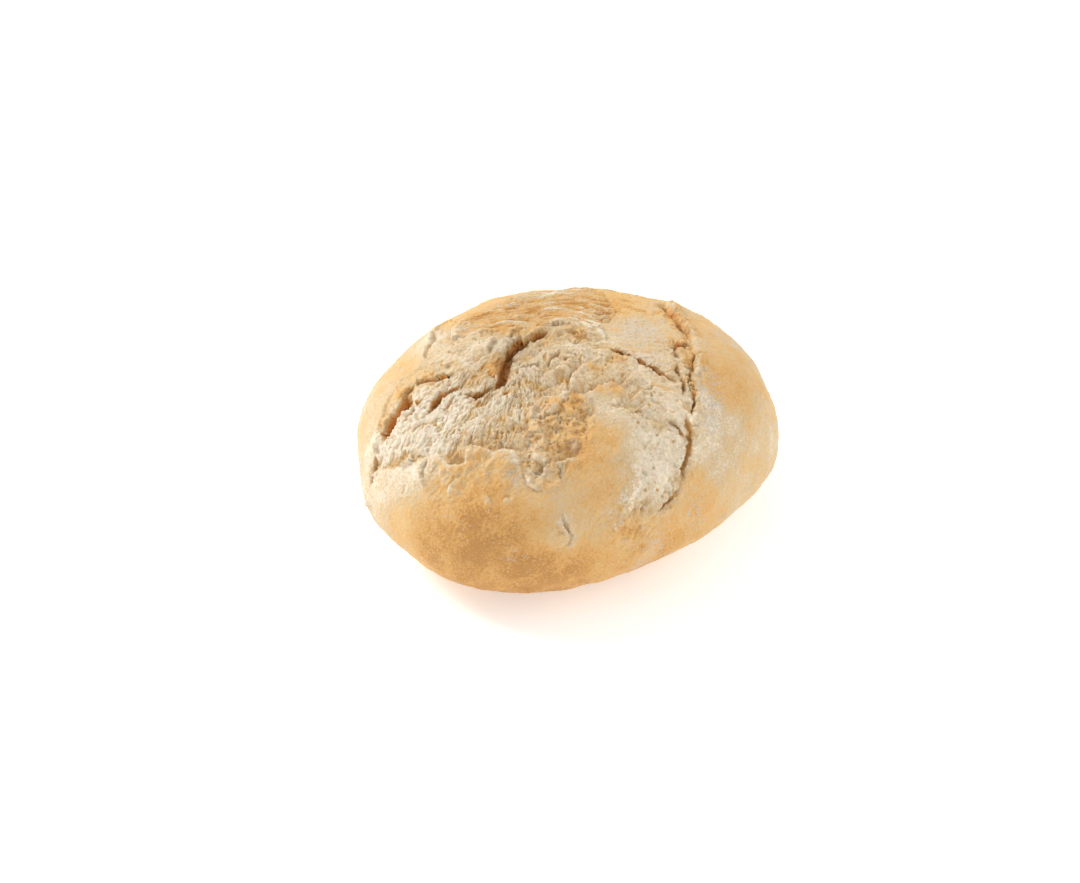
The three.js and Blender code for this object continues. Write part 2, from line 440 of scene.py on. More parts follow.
# %% Steps
def lift_flap(route, lift, dip, reach=3.0, overhang=0.25):
    """Raises the surface on the left of a route and sinks it on the right, with a sharp edge between."""
    line = Route(route)
    rows, aside, along, left = line.measure(ragged, 2.2 * reach)
    taper = ease(along, -0.5, 2) * ease(line.length - along, -0.5, 2)
    raised = ease(aside, -0.12, 0.12)
    edge = raised * lift * bell(aside, reach)
    trough = (1 - raised) * dip * bell(aside, 0.7 * reach)
    height[rows] += taper * (edge - trough)
    slide[rows] -= overhang * (taper * bell(aside, 0.8))[:, None] * left
    # painted shade: the trough beside the step is coloured darker, where shade falls
    shade[rows] = np.maximum(shade[rows], 0.35 * taper * dip * (1 - raised) * bell(aside, 0.5))
    rims[rows] = np.maximum(rims[rows], taper * bell(aside - 0.3, 0.6))


FLAPS = [
    ([[-41.5, -31.5], [-44, -28.5], [-47.5, -24.5], [-50, -21], [-52, -17.5], [-54, -18.5], [-56, -19.5],
      [-58.5, -17], [-59, -14]], 0.9, 1.2, 3.2),
    ([[-66.5, -13.5], [-66, -11.5], [-65, -9.5], [-63, -8.5], [-61, -7.5]], 0.6, 0.5, 2.4),
    ([[1.5, -36], [1, -31.5], [-2, -28], [-6, -27.5], [-9, -27.7], [-14, -27.4], [-19, -25], [-22, -23],
      [-27, -19]], 0.8, 0.9, 3),
    ([[-34, -23], [-28, -26], [-23, -27.5]], 0.5, 0.8, 2.2),
    ([[-28, -45.5], [-30.5, -43], [-33, -42], [-36.5, -40]], 0.7, 1.0, 3),
    ([[-35, -41], [-34.5, -43.5], [-36.5, -46.5]], 0.4, 0.4, 2.6),
    ([[-58, -23], [-61, -21.5], [-64.5, -22.5]], 0.5, 0.5, 2.2),
    ([[-39.5, 29], [-38.5, 33], [-36, 36], [-33, 39], [-30.5, 41], [-28, 44], [-25, 48]], 0.5, 0.8, 2),
    ([[-15, 45], [-17, 42.5], [-21, 41], [-25, 38], [-26.5, 34], [-26, 31]], 0.7, 0.5, 2.4),
    ([[-10, -17], [-10.5, -13], [-14.5, -11], [-18.5, -11.5], [-22, -13]], 0.7, 1.0, 3),
    ([[-14, -6], [-12, -3.7], [-9, -2.2], [-5, -2.8], [-1.5, -7.8], [-2.3, -15]], 0.6, 0.9, 2.5),
    ([[16.4, -23.5], [14.2, -18.2], [10.3, -15.9], [7, -20]], 0.5, 0.3, 2.5),
    ([[-24, -1], [-20, -1.5], [-16, -2.5]], 0.6, 0.8, 2),
    ([[-27, 14], [-21, 18], [-14.5, 19], [-9, 20], [-4.5, 18], [1, 15.5], [6.5, 12.5], [9, 8]],
     0.8, 0.3, 2.5),
    ([[-0.7, -16], [-9, -16.7], [-14.6, -21], [-17, -24.4]], 0.7, 0.7, 2.4),
    ([[56, 16], [51, 4], [48, -6], [46, -12], [43.5, -17.5], [40, -23], [37.5, -27], [32, -33],
      [28.5, -35.5], [27, -40], [24.5, -44]], 0.7, 0.3, 3),
    ([[9, -47.5], [12.5, -48.5], [14, -51]], 0.5, 0.9, 2),
    ([[-43, -21.5], [-44.5, -25], [-43.5, -28]], 0.4, 0.7, 1.6),
    ([[-27.5, -67], [-28.5, -69], [-28, -71]], 0.3, 0.4, 1.2),
    ([[-41, -53], [-42, -56], [-42, -60], [-44, -62], [-47, -62.5]], 0.4, 0.1, 1.6),
    ([[-48.5, -61], [-45.5, -60.5], [-44, -58.5], [-44, -56], [-43, -53]], 0.4, 0.1, 1.6),
    ([[-50.4, -38.2], [-51.5, -38.7], [-53, -37.8], [-54.7, -38]], 0.4, 0.35, 1.4),
    ([[-55.8, -36.2], [-56.6, -34.8], [-56.2, -33.1], [-56.9, -31]], 0.5, 0.3, 1.4),
    ([[-44, -35.4], [-44.4, -38], [-45.1, -40.5], [-44, -42.7], [-42.6, -44.6]], 0.5, 0.4, 1.8),
    ([[-38, -33], [-39.5, -35.5], [-38.5, -38.5], [-40.5, -41]], 0.6, 0.8, 2.2),
    ([[-69.5, -6], [-71, -7.5], [-73, -9]], 0.25, 0.4, 1),
    ([[-22, -68.5], [-19, -66.5], [-15, -64]], 0.4, 0.7, 2),
]
for flap_route, flap_lift, flap_dip, flap_reach in FLAPS:
    lift_flap(flap_route, flap_lift, flap_dip, flap_reach)
print(f"{len(FLAPS)} flaps")

# %% [markdown]
# ## Lumps and pits
# Small beads of dough dried on the torn edges and where the roll touched the tray, and single large bubbles
# left round pits. Each is one soft bell, raised or sunk: a place with its radius and its height in
# millimetres.

# %% Lumps and pits
LUMPS = [
    ([49, 1], 1.2, 0.9), ([47.5, -4], 1.0, 0.6), ([54, 12], 2.4, 0.3), ([-9, -66], 2.6, 0.7),
    ([-84, 14], 1.1, 1.5), ([-68, -63], 0.9, 1.0), ([-56, -18], 1.6, -1.3), ([-12.6, -9], 1.4, -0.8),
    ([4.5, -6.5], 1.2, -0.8), ([6, -9.5], 0.9, -0.8), ([-31, -38], 1.6, -0.9), ([-39, -43], 1.6, -0.8),
    ([-28, -39], 1.0, -0.7), ([-13.5, -68.4], 1.6, -1.2), ([-9.7, -66.4], 1.8, -0.7),
    ([-9, -59.8], 0.8, -0.8), ([-12, -71], 1.0, -0.8), ([-38, 19], 0.9, -1.0),
    ([-38.5, 14.5], 0.9, -0.8), ([-57, 4.5], 0.8, -0.9), ([-48, -4], 0.9, -0.6), ([29, -6], 1.0, -0.4),
    ([-37.5, 9], 1.6, 0.8), ([-36.5, 5], 1.6, 1.0), ([-36, 1], 1.3, 0.8),
]
for lump_place, lump_radius, lump_height in LUMPS:
    middle = skin_at(direction_of([lump_place]))[0]
    height += lump_height * bell(np.linalg.norm(ragged - middle, axis=1), lump_radius)
print(f"{len(LUMPS)} lumps and pits")

# %% [markdown]
# ## Grain directions
# Torn crumb is pulled out in fibres that fan from the middle of the widest tear, and noise that is stretched
# along them gives their strands. It is measured by the angle and the distance from the fan's middle. Strands
# drawn by angle alone would be hair-thin near the middle and broad far out, so they split in two each time
# the distance doubles. The browned ridge has long folds instead, which follow the tear's lip.

# %% Grain directions
FAN_MIDDLE = np.array([-15, 12])
FAN_ARM = 24
FEWEST_SPLITS = -2
MOST_SPLITS = 1
FOLD_LINE = [[-30, 33], [-23, 31], [-17, 26], [-10, 21], [-4, 18], [2, 15], [8, 10], [12, 3], [14, -5]]
FOLDS_REACH = 60

from_fan = ragged_places - FAN_MIDDLE
arm = DEGREE * np.hypot(from_fan[:, 0], from_fan[:, 1])
turn = np.arctan2(from_fan[:, 0], -from_fan[:, 1])
fan = np.column_stack([FAN_ARM * turn, arm, np.zeros(len(smooth))])
ragged_arm = np.maximum((arm + 0.1) / FAN_ARM + 0.04 * cloud(smooth, 3, 2, 33), 0.1)
splits = np.clip(np.round(np.log2(ragged_arm)), FEWEST_SPLITS, MOST_SPLITS)
even_fan = fan * np.column_stack([2**splits, np.ones(len(arm)), np.ones(len(arm))])
rows, aside, along, _ = Route(FOLD_LINE).measure(smooth, FOLDS_REACH)
folds = np.zeros_like(smooth)
folds[rows, 0] = aside
folds[rows, 1] = along
grain = np.where((ridge_depth > -1)[:, None], folds, fan)
print("the folds run beside a line", round(Route(FOLD_LINE).length), "mm long")

# %% [markdown]
# ## Kinds of surface
# The crumb isn't the same all over. West of the crown it was pulled into fibres, in the east it is an even
# slab, and between them it broke into plates. Below the torn edge on the left the skin is wrinkled, and on
# the crown's east side it is scuffed. Each kind is a share from 0 to 1 at every point, and fades out.

# %% Kinds of surface
SCUFF_MIDDLE = np.array([29, -2])
SCUFF_REACH = 16

west = -places[:, 0]
south = -places[:, 1]
fibrous = ease(west, 12, 30) * ease(torn_depth, 0, 3) * ease(south, -16, -8)
slab = ease(places[:, 0], 8, 16) * crumb
platy = crumb * ease(places[:, 1], -62, -35) * (1 - ease(places[:, 1], 15, 30))
wrinkled = (1 - crumb) * bell(torn_depth + 2, 6) * ease(west, 5, 20) * ease(south, 5, 15)
from_scuff = places - SCUFF_MIDDLE
scuffed = (1 - crumb) * bell(np.hypot(from_scuff[:, 0], from_scuff[:, 1]), SCUFF_REACH)
standing = ease(smooth[:, 2], 0.2, 4)
for kind, share in {"fibrous": fibrous, "slab": slab, "wrinkled": wrinkled, "scuffed": scuffed}.items():
    print(f"{kind}: {share.mean():.1%} of the points")

# %% [markdown]
# ## Strands, pores and flakes
# Four patterns make all of the fine relief, and each is a small function of noise. Strands are noise that is
# stretched one way. Pores are dents in some cells of a foam. Terraces are noise rounded to a few levels,
# which gives flat flakes. Scales are cells that each rise evenly to one side and break off there, as plates
# of crumb do that were lifted from below. The plates slope down towards the front, where the roll opened.

# %% Patterns
DOWNHILL_BEARING = -126


def strands(coordinates, across, along, seed):
    """Noise stretched into strands, from their width and length."""
    stretched = coordinates / np.array([across, along, 1])
    return cloud(stretched, 1, 2, seed)


def pores(points, cell, seed):
    """Round dents in some of the cells of a foam, 1 deep in their middles."""
    shifted = (points / cell + SEED_SHIFT * seed).tolist()
    gaps = np.array([noise.voronoi(point)[0][0] for point in shifted])
    return (1 - ease(gaps, 0.1, 0.45)) * ease(cloud(points, 3 * cell, 2, seed + 1), 0, 0.3)


def terraces(points, grain, steps, seed):
    """Flat flakes from noise rounded to a few levels, and how near each point is to a flake's edge."""
    levels = steps * cloud(points, grain, 3, seed)
    whole = np.floor(levels)
    part = levels - whole
    rim = ease(part, 0.9, 1) + 1 - ease(part, 0, 0.2)
    return (whole + ease(part, 0.8, 1) + 0.2 * rim) / steps, rim


def scales(coordinates, across, along, seed):
    """Overlapping flakes that rise towards smaller distances along and end there in a sharp edge."""
    shapes = coordinates / np.array([across, along, 1]) + SEED_SHIFT * seed
    middles = np.array([noise.voronoi(shape)[1][0][1] for shape in shapes.tolist()])
    return np.clip(middles - shapes[:, 1], -0.7, 0.6)


downhill = np.radians(DOWNHILL_BEARING)
turned = [[-np.sin(downhill), np.cos(downhill)], [np.cos(downhill), np.sin(downhill)]]
slope = np.column_stack([DEGREE * (ragged_places @ turned), np.zeros(len(smooth))])
drawn = even_fan + 0.6 * wander(smooth, 2, 24)
wavy = folds + 1.6 * wander(smooth, 6, 17)
plates = scales(slope + 0.8 * wander(smooth, 3, 23), 7, 6, 5)
patchy = 0.5 + ease(cloud(smooth, 6, 2, 28), -0.3, 0.4)
tufts = patchy * scales(drawn, 1.3, 6, 6)
fibres = 0.25 - np.abs(strands(drawn, 0.9, 7, 34))
threads = strands(even_fan, 0.6, 5, 4)
chips, chip_rims = terraces(ragged, 4, 3, 7)
creases = 0.5 * strands(wavy, 1.5, 10, 8) + 0.45 * strands(wavy, 0.7, 6, 9)
wrinkles = np.abs(cloud(ragged, 3.5, 3, 26))
scuffs = 0.6 * cloud(smooth, 1.6, 3, 35) + 0.6 * strands(even_fan, 0.8, 5, 36)
print(f"plates from {plates.min():.1f} to {plates.max():.1f}")
print(f"fibres from {fibres.min():.1f} to {fibres.max():.1f}")

# %% [markdown]
# ## Relief
# The patterns are now laid over each other, each with its height in millimetres on every kind of surface.
# The crumb also lies half a millimetre below the crust, because the skin tore away from it. The whole skin
# has low swellings and fine bumps. All of it dies away where the roll stands on the tray. At the end the
# torn points are pushed about sideways too, which gives the small overhangs of torn crumb.

# %% Relief of the crumb, the ridge and the skin
SKIN_THICKNESS = 0.5


def on_crumb(everywhere, more_on_fibres, less_on_slab):
    """A pattern's height on the crumb, in millimetres."""
    return crumb * (everywhere + more_on_fibres * fibrous - less_on_slab * slab)


fine = on_crumb(0.15, 0.15, 0) * threads + on_crumb(0.15, 0.2, 0.12) * tufts
fine += on_crumb(0.1, 0.8, 0.1) * fibres
fine += on_crumb(0.18, 0, 0.1) * cloud(smooth, 0.8, 2, 25)
fine -= on_crumb(0.5, 0, 0.38) * pores(smooth, 1.7, 6)
fine += flaky * (1.6 * chips + 0.5 * strands(fan, 1, 3, 14))
relief = fine + ridge * creases + platy * (2.1 - 1.5 * fibrous - 1.85 * slab) * plates
relief += on_crumb(0.8, 0, 0.5) * cloud(smooth, 7, 3, 3)
relief += (1 - crumb) * (0.9 * cloud(smooth, 16, 2, 10) + 0.18 * cloud(smooth, 3, 3, 11))
relief += wrinkled * (0.5 * chips - 0.7 * wrinkles + 0.6 * cloud(smooth, 5, 2, 30))
relief += 0.8 * roughness * cloud(smooth, 1.3, 3, 29)
relief += 1.3 * scuffed * scuffs
height += relief * standing
height -= crumb * SKIN_THICKNESS
points = smooth + normals * (height * standing)[:, None] + slide
torn = np.maximum(1.1 * roughness, (0.24 - 0.22 * slab) * crumb)[:, None]
points += torn * (0.5 * wander(points, 1.7, 15) + 0.35 * wander(points, 0.7, 16))
points[:, 2] = np.maximum(points[:, 2], 0)
print(f"the relief reaches from {height.min():.1f} to {height.max():.1f} mm")

# %% [markdown]
# ## Browning
# Colour follows heat: the parts that stood highest or nearest the oven wall browned, the torn parts stayed
# pale. A painter would dab spots of each tone and blend them, and so does this step: each spot is a place
# with its browning, from 0 for pale crumb to 1 for deep golden brown, and a point takes the mean of the
# spots near it. A small share of a wider mean keeps the change soft where spots lie far apart. Thin flakes
# and lips browned in small patches, and each gilded patch is a place with its reach and its strength. The
# tone then follows the relief: crevices of the crumb and the gaps under its plates are painted darker and
# warmer as painted shade, and tops of the folds and rims are paler.

# %% Browning
BROWNING = [
    ([-57, 33], 0.4), ([-75, 9], 0.15), ([-82, -4], 0.55), ([-41, 39], 0.68), ([-33, 37], 0.12),
    ([-29, 36], 0.26), ([-56, -2], -0.12), ([-64, 3], -0.1), ([-40, -13], 0.1), ([-23, -7], 0.24),
    ([-11, 35], 0.84), ([-26, 22], 0.25), ([5, 27], 0.5), ([7, 14], 0.36), ([24, 19], 0.85),
    ([13, -2], 0.25), ([29, -6], 0.42), ([23, -24], 0.3), ([46, -19], 0.62), ([51, -26], 0.6),
    ([45, -38], 0.75), ([27, -51], 0.15), ([54, -48], 0.35), ([36, -63], 0.33), ([8, -81], 0.7),
    ([-19, -80], 0.66), ([-8, -62], 0.1), ([-2, -35], 0.3), ([1, -49], 0.1), ([-20, -46], 0.66),
    ([-29, -47], 0.68), ([-43, -54], 0.36), ([-61, -44], 0.72), ([-62, -59], 1.05), ([-72, -22], 0.84),
    ([-74, -8], 0.5), ([-80, -25], 0.85), ([-33, -32], 0.58), ([-44, -34], 0.22), ([-58, -32], 1.2),
    ([-56, -37], 1.0), ([-70, -4], 0.08), ([-76, -41], 1.05), ([-55, -69], 0.92), ([-20, -90], 0.85),
    ([0, 75], 0.6), ([40, 60], 0.6), ([-40, 70], 0.5), ([75, 20], 0.5), ([70, -20], 0.4),
    ([78, -50], 0.4), ([0, 100], 0.5), ([-48, -28], 0.42), ([-54, -22], 0.4), ([-62, -18], 0.32),
    ([-38, -27], 0.35), ([-100, 20], 0.6), ([-70, 60], 0.35), ([100, 0], 0.5), ([30, 32], 0.6),
    ([-5, 46], 0.6),
]
BLEND = 9.0
WIDE_SHARE = 0.015
LEAST_WEIGHT = 1e-9
MIDDLE_TONE = 0.5
RIM_TONE = 0.15
GILDED = [
    ([-29.5, 5.5], 3, 0.6), ([-36, 3], 3, 0.35), ([48.5, -2], 3, 0.6), ([-17.5, -27.5], 3, 0.5),
    ([-7, -28.5], 2.5, 0.45), ([-1, -31], 2.5, 0.4), ([-1.5, -17.5], 2.5, 0.35), ([11, -18.5], 3, 0.35),
    ([-18.5, 2.5], 2.5, 0.35), ([6, -48.5], 2.5, 0.35), ([-39, 4], 2.5, 0.35), ([-62, 20], 3, 0.25),
    ([-53, 21], 3, 0.25), ([-45, 20], 3, 0.2), ([-50, -21], 2.5, 0.2), ([-12, 20], 4, 0.3),
    ([-2, 17], 3, 0.3), ([8, 3], 3, 0.3), ([-27, 10], 2.5, 0.2),
]


def gap_to(spot):
    """How far each point's place is from a spot, in degrees."""
    return np.hypot(places[:, 0] - spot[0], places[:, 1] - spot[1])


def dabbed(spots, blend):
    """The mean of the spots' tones near each place."""
    total = np.full(len(places), LEAST_WEIGHT)
    tone = MIDDLE_TONE * total
    for spot, strength in spots:
        gap = gap_to(spot)
        weight = bell(gap, blend) + WIDE_SHARE * bell(gap, 3 * blend)
        total += weight
        tone += weight * strength
    return tone / total


def patched(spots, ground):
    """Soft patches of their own size and strength on an even ground."""
    tone = np.full(len(places), ground, float)
    for spot, reach, strength in spots:
        tone = np.maximum(tone, strength * bell(gap_to(spot), reach))
    return tone


bake_and_shade = dabbed(BROWNING, BLEND)
bake_and_shade += 0.1 * cloud(smooth, 9, 3, 12) - 1.1 * ridge * creases
# painted shade: the crumb's crevices and the gaps under its plates are coloured darker and warmer
bake_and_shade += crumb * (0.42 * ease(-fine, 0.0, 0.45) - 0.09) + 0.35 * platy * ease(-plates, 0.2, 0.6)
bake_and_shade += 0.12 * (1 - crumb) * (ease(cloud(smooth, 6, 4, 31), -0.1, 0.1) - 0.5)
bake_and_shade += 0.1 * crumb * ease(cloud(smooth, 5, 3, 20), 0, 0.5) + 0.15 * flaky * chip_rims
bake_and_shade += 0.75 * rims * (RIM_TONE - bake_and_shade)
bake_and_shade -= 1.1 * scuffed * scuffs
bake_and_shade += 0.3 * wrinkled * (cloud(smooth, 1.6, 3, 27) - chip_rims)
bake_and_shade += patched(GILDED, 0)
print(f"browning from {bake_and_shade.min():.2f} to {bake_and_shade.max():.2f}")

# %% [markdown]
# ## Flour
# The dough was dusted before it was baked, and flour stayed in patches where nothing rubbed it off: each is
# a place with its reach in degrees and its strength, on a thin even ground. Part of it is dust that belongs
# to the skin's colour. The rest lies loose in small clumps, thinly on the slab and not under the roll. The
# patches low at the foot are partly painted shade: their dust dulls the colour at the bottom of the roll.

# %% Flour
GROUND_FLOUR = 0.05
FLOUR_AND_FOOT_SHADE = [
    ([29, -6], 12, 0.95), ([22, -20], 9, 0.7), ([13, -38], 9, 0.3), ([44, 10], 9, 0.4),
    ([-60, 32], 6, 0.2), ([4, 38], 9, 0.35), ([-20, 38], 7, 0.35), ([36, -35], 6, 0.6),
    ([31, -43], 6, 0.7), ([27, -52], 6, 0.7), ([25, -61], 5, 0.35), ([60, -14], 7, 0.5),
    ([56, 2], 5, 0.3), ([-47, -36], 3.5, 0.7), ([-41, -38], 2.5, 0.5), ([-62, -50], 2.5, 0.5),
    ([-27, -40], 3, 0.7), ([-42, -57], 2, 0.4), ([-25, -68], 3, 0.6), ([-10, -63], 6, 0.4),
    ([6, -52], 5, 0.3), ([-12, -30], 4, 0.5), ([-18, -24], 3, 0.5), ([60, -45], 8, 0.15),
    ([5, 80], 25, 0.25), ([60, 40], 20, 0.25), ([-60, 65], 20, 0.2), ([30, -85], 10, 0.2),
    # partly painted shade: the patches at (-12, -84), (10, -79) and (-20, -92) dull the colour at the foot
    ([0, -95], 8, 0.2), ([-12, -84], 8, 0.6), ([10, -79], 7, 0.5), ([46, -19], 6, 0.5),
    ([-20, -92], 8, 0.6),
]

flour = patched(FLOUR_AND_FOOT_SHADE, GROUND_FLOUR)
clumps = ease(cloud(smooth, 1.6, 3, 18), 0.1, 0.5)
scatter = (1 - 0.8 * slab) * standing * flour * clumps
print(f"loose flour on {(scatter > GROUND_FLOUR).mean():.0%} of the points")

# %% [markdown]
# ## One thinned skin
# The fine skin has far more faces than its smooth parts need. Thinning it by collapsing the shortest edges
# of the flattest places keeps the faces where the crumb is rough. The tones ride along as attributes of the
# points, which the material reads.

# %% Finish the skin
LARGEST_SKIN = 198000

tones = {
    "bake_and_shade": bake_and_shade,
    "crumb": crumb,
    "shade": shade,
    "flour": flour,
    "scatter": scatter,
    "threads": np.maximum(ridge, 0.3 * crumb - 0.3 * slab + 0.7 * fibrous),
}
clay.vertices.foreach_set("co", (points * MM).ravel())
for name, values in tones.items():
    clay.attributes.new(name, "FLOAT", "POINT").data.foreach_set("value", values.astype(np.float32))
clay.attributes.new("grain", "FLOAT_VECTOR", "POINT").data.foreach_set("vector", (grain * MM).ravel())
draft = bpy.data.objects.new("draft", clay)
bpy.context.collection.objects.link(draft)
if 2 * len(clay.polygons) > LARGEST_SKIN:
    thin = draft.modifiers.new("thin", "DECIMATE")
    thin.ratio = LARGEST_SKIN / (2 * len(clay.polygons))
roll = bpy.data.objects.new("roll", plain_mesh(draft, "roll"))
bpy.data.objects.remove(draft)
bpy.context.collection.objects.link(roll)
roll.data.shade_smooth()
roll.data.calc_loop_triangles()
print(len(roll.data.loop_triangles), "triangles in the roll")

# %% [markdown]
# ## Materials as formulas
# A material is a graph of nodes, and a formula reads better than a graph. One small class wraps a socket,
# so that adding or multiplying it adds a Math node. Every other node comes from one method.

# %% Formulas for materials
class Wire:
    """A number that flows between nodes."""

    def __init__(self, kit, socket):
        self.kit = kit
        self.socket = socket

    def maths(self, operation, first, second):
        settings = {"operation": operation}
        return self.kit.node("ShaderNodeMath", settings, {0: first, 1: second})

    def __add__(self, other):
        return self.maths("ADD", self, other)

    def __mul__(self, other):
        return self.maths("MULTIPLY", self, other)

    def __sub__(self, other):
        return self.maths("SUBTRACT", self, other)

    def __rsub__(self, other):
        return self.maths("SUBTRACT", other, self)

    __radd__ = __add__
    __rmul__ = __mul__


class Kit:
    """A node tree that is built up by formulas."""

    def __init__(self, tree):
        self.tree = tree
        self.tree.nodes.clear()

    def node(self, kind, settings=None, inputs=None, output=0):
        made = self.tree.nodes.new(kind)
        for key, value in (settings or {}).items():
            setattr(made, key, value)
        for key, value in (inputs or {}).items():
            socket = made.inputs[key]
            if isinstance(value, Wire):
                self.tree.links.new(value.socket, socket)
            else:
                socket.default_value = value
        return Wire(self, made.outputs[output])


class Recipe(Kit):
    """One material."""

    def __init__(self, name):
        self.material = bpy.data.materials.new(name)
        self.material.use_nodes = True
        super().__init__(self.material.node_tree)

    def tone(self, name):
        return self.node("ShaderNodeAttribute", {"attribute_name": name}, output="Fac")

    def grain(self):
        return self.node("ShaderNodeAttribute", {"attribute_name": "grain"}, output="Vector")

    def place(self):
        return self.node("ShaderNodeTexCoord", output="Object")

    def speckle(self, where, size, detail=2.0):
        """Noise from 0 to 1 with blotches of a size in metres."""
        inputs = {"Vector": where, "Scale": 1 / size, "Detail": detail}
        return self.node("ShaderNodeTexNoise", None, inputs, "Fac")

    def between(self, value, start, end):
        """0 before start, 1 after end, and a smooth change between them."""
        inputs = {"Value": value, "From Min": start, "From Max": end}
        return self.node("ShaderNodeMapRange", {"interpolation_type": "SMOOTHSTEP"}, inputs)

    def blend(self, share, first, second):
        """A mix of two colours."""
        inputs = {0: share, 6: first, 7: second}
        return self.node("ShaderNodeMix", {"data_type": "RGBA"}, inputs, 2)

    def ramp(self, value, stops):
        made = self.node("ShaderNodeValToRGB", None, {"Fac": value})
        elements = self.tree.nodes[-1].color_ramp.elements
        while len(elements) < len(stops):
            elements.new(1)
        for element, (position, colour) in zip(elements, stops):
            element.position = position
            element.color = colour
        return made

    def bump(self, bumpiness, metres, onto=None):
        inputs = {"Height": bumpiness, "Distance": metres, "Strength": 1.0}
        if onto is not None:
            inputs["Normal"] = onto
        return self.node("ShaderNodeBump", None, inputs)

    def finish(self, inputs):
        skin = self.node("ShaderNodeBsdfPrincipled", None, inputs)
        end = self.tree.nodes.new("ShaderNodeOutputMaterial")
        self.tree.links.new(skin.socket, end.inputs["Surface"])
        return self.material


print("the formula kit is ready")

# %% [markdown]
# ## The crust's colours
# Crumb, pale skin, golden skin and brown skin are one run of colours, from cream to a warm brown, so one
# ramp over the browning serves them all; it also carries the painted shade of the crumb's crevices. Fine
# noise breaks the tones up, the shade in the tears is painted in as golden to red brown, the warm colour of
# light that comes back out of them through bread, and flour lies over it all as a thin dust, which is
# duller than loose flour because the crust shows through it. Bread lets a little light into its skin, so the
# material has a shallow subsurface glow. Threads and foam are bumps too small for the mesh.

# %% Crust material
CREAM = (0.80, 0.695, 0.54, 1)
PALE = (0.64, 0.485, 0.29, 1)
GOLDEN = (0.69, 0.44, 0.19, 1)
AMBER = (0.66, 0.365, 0.12, 1)
BROWN = (0.51, 0.26, 0.082, 1)
# the colours of the painted shade in the tears and in the troughs beside flaps
TEAR_SHADE_GOLD = (0.72, 0.47, 0.21, 1)
TEAR_SHADE_BROWN = (0.77, 0.335, 0.095, 1)
DUST = (0.58, 0.495, 0.40, 1)
FLOUR = (0.67, 0.60, 0.52, 1)


def crust_material():
    mix = Recipe("crust")
    here = mix.place()
    crumb_share = mix.tone("crumb")
    blotch = mix.speckle(here, 0.004, 4) - 0.5
    fine = mix.speckle(here, 0.0006, 4) - 0.5
    drawn_out = {0: mix.grain(), 1: (1, 0.12, 1)}
    squeezed = mix.node("ShaderNodeVectorMath", {"operation": "MULTIPLY"}, drawn_out)
    threads = (mix.speckle(squeezed, 0.0004, 3) - 0.5) * mix.tone("threads")
    mottle = 0.25 * blotch + (0.8 - 0.4 * crumb_share) * fine - 0.5 * threads
    # the browning read here also holds the painted shade of the crumb's crevices
    browning = mix.tone("bake_and_shade") + mottle
    colour = mix.ramp(browning, [(0, CREAM), (0.3, PALE), (0.55, GOLDEN), (0.8, AMBER), (1, BROWN)])
    dust = mix.between(mix.speckle(here, 0.0008, 4) + 0.35 * mix.tone("flour"), 0.62, 0.86)
    colour = mix.blend(0.8 * dust, colour, DUST)
    # painted shade in the tears and flap troughs, golden where shallow and red brown where deep
    painted_shade = mix.tone("shade") * (0.3 + 1.4 * mix.speckle(here, 0.001, 4))
    colour = mix.blend(mix.between(painted_shade, 0.0, 0.45), colour, TEAR_SHADE_GOLD)
    colour = mix.blend(mix.between(painted_shade, 0.4, 0.95), colour, TEAR_SHADE_BROWN)
    rough = 0.62 + 0.28 * crumb_share
    foam = mix.speckle(here, 0.0009, 4) * (1 + 2 * mix.tone("shade"))
    relief = mix.bump(threads, 0.0009, mix.bump(foam, 0.0006))
    skin = {"Base Color": colour, "Roughness": rough, "Specular IOR Level": 0.2, "Normal": relief}
    depth = {"Subsurface Weight": 0.45, "Subsurface Radius": (1, 0.6, 0.35), "Subsurface Scale": 0.0012}
    return mix.finish(skin | depth)


roll.data.materials.append(crust_material())
print("the crust has", len(roll.data.materials[0].node_tree.nodes), "nodes")

# %% [markdown]
# ## Loose flour
# Flour that wasn't rubbed in lies on the crust as single grains and small clumps. They are scattered over
# the skin by Geometry Nodes, denser where more flour was dabbed: points spread over the faces, a crushed
# little ball at each of them, and all of them joined into one mesh.

# %% Loose flour
GRAINS_PER_SQUARE_METRE = 8e6
GRAIN = 0.00014  # radius in metres


def flour_material():
    mix = Recipe("flour")
    return mix.finish({"Base Color": FLOUR, "Roughness": 0.95, "Specular IOR Level": 0.2})


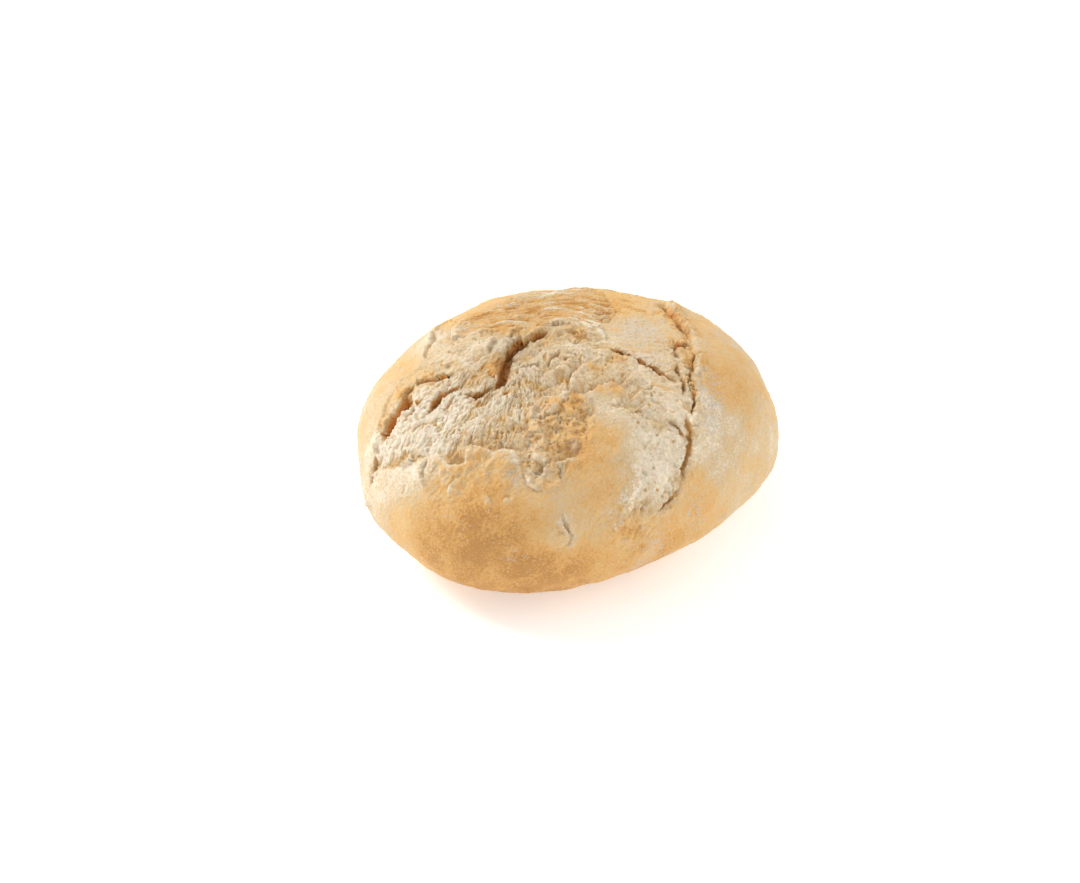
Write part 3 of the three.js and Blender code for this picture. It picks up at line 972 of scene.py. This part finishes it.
def grain_scatter():
    tree = bpy.data.node_groups.new("grain scatter", "GeometryNodeTree")
    sockets = {
        "Skin": "Geometry",
        "Density": "Float",
        "Grain size": "Float",
        "Seed": "Int",
        "Material": "Material",
    }
    for name, kind in sockets.items():
        tree.interface.new_socket(name, in_out="INPUT", socket_type="NodeSocket" + kind)
    tree.interface.new_socket("Grains", in_out="OUTPUT", socket_type="NodeSocketGeometry")
    kit = Kit(tree)
    given = {name: kit.node("NodeGroupInput", output=name) for name in sockets}
    share = kit.node("GeometryNodeInputNamedAttribute", {"data_type": "FLOAT"}, {"Name": "scatter"})
    spread = {"Mesh": given["Skin"], "Density": given["Density"] * share, "Seed": given["Seed"]}
    spots = kit.node("GeometryNodeDistributePointsOnFaces", None, spread)
    ball = kit.node("GeometryNodeMeshIcoSphere", None, {"Radius": 1.0, "Subdivisions": 1})
    as_vector = {"data_type": "FLOAT_VECTOR"}
    any_turn = {"Max": (6.3, 6.3, 6.3)}
    half_to_more = {"Min": (0.5, 0.5, 0.5), "Max": (1.5, 1.5, 1.5)}
    turn = kit.node("FunctionNodeRandomValue", as_vector, any_turn)
    crush = kit.node("FunctionNodeRandomValue", as_vector, half_to_more)
    sized = {0: crush, "Scale": given["Grain size"]}
    scale = kit.node("ShaderNodeVectorMath", {"operation": "SCALE"}, sized)
    placed = {"Points": spots, "Instance": ball, "Rotation": turn, "Scale": scale}
    grains = kit.node("GeometryNodeInstanceOnPoints", None, placed)
    joined = kit.node("GeometryNodeRealizeInstances", None, {"Geometry": grains})
    painted = kit.node("GeometryNodeSetMaterial", None, {"Geometry": joined, "Material": given["Material"]})
    end = tree.nodes.new("NodeGroupOutput")
    tree.links.new(painted.socket, end.inputs["Grains"])
    return tree


def scatter_over(skin, name, settings):
    """A plain mesh of grains spread over a skin."""
    carrier = bpy.data.objects.new("carrier", skin.data.copy())
    bpy.context.collection.objects.link(carrier)
    scatter = carrier.modifiers.new("grains", "NODES")
    scatter.node_group = grain_scatter()
    for item in scatter.node_group.interface.items_tree:
        if item.name in settings:
            scatter[item.identifier] = settings[item.name]
    grains = bpy.data.objects.new(name, plain_mesh(carrier, name))
    bpy.data.objects.remove(carrier)
    bpy.context.collection.objects.link(grains)
    return grains


loose = {"Density": GRAINS_PER_SQUARE_METRE, "Grain size": GRAIN, "Seed": 4, "Material": flour_material()}
grains = scatter_over(roll, "flour", loose)
print(len(grains.data.polygons), "triangles in the flour")

# %% [markdown]
# ## Floor and light
# The roll stands on a plain white floor in soft studio light: a large soft box above on the left, a weaker
# one low on the right, and a white room all round that fills the shadows. The floor glows a little, as a
# white table does that is lit from below.

# %% Floor, light and colour
FLOOR_SIDE = 6
FLOOR_WHITE = (0.9, 0.9, 0.9, 1)
KEY_WATTS = 11
FILL_WATTS = 3
ROOM_WHITE = (1, 1, 1, 1)
ROOM_LIGHT = 0.75


def floor_material():
    mix = Recipe("floor")
    glow = {"Emission Color": FLOOR_WHITE, "Emission Strength": 0.4}
    return mix.finish({"Base Color": FLOOR_WHITE, "Roughness": 0.9} | glow)


bpy.ops.mesh.primitive_plane_add(size=FLOOR_SIDE)
floor = bpy.context.object
floor.name = "floor"
floor.data.materials.append(floor_material())


def soft_box(name, place, size, watts):
    lamp_data = bpy.data.lights.new(name, "AREA")
    lamp_data.shape = "DISK"
    lamp_data.size = size
    lamp_data.energy = watts
    lamp = bpy.data.objects.new(name, lamp_data)
    lamp.location = place
    lamp.rotation_euler = (ROLL_MIDDLE - lamp.location).to_track_quat("-Z", "Y").to_euler()
    bpy.context.collection.objects.link(lamp)


soft_box("key", ROLL_MIDDLE - 0.85 * right + 0.3 * level + Vector((0, 0, 0.85)), 0.5, KEY_WATTS)
soft_box("fill", ROLL_MIDDLE + 0.95 * right - 0.1 * level + Vector((0, 0, 0.4)), 0.8, FILL_WATTS)
world = bpy.data.worlds.new("studio")
world.use_nodes = True
room = world.node_tree.nodes["Background"]
room.inputs["Color"].default_value = ROOM_WHITE
room.inputs["Strength"].default_value = ROOM_LIGHT
bpy.context.scene.world = world
bpy.context.scene.view_settings.view_transform = "Standard"
print("two soft boxes and a white room")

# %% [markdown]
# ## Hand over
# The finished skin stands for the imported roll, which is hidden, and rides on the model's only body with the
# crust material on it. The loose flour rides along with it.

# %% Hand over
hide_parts("bread_roll")
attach(roll, "root")
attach(grains, "root")
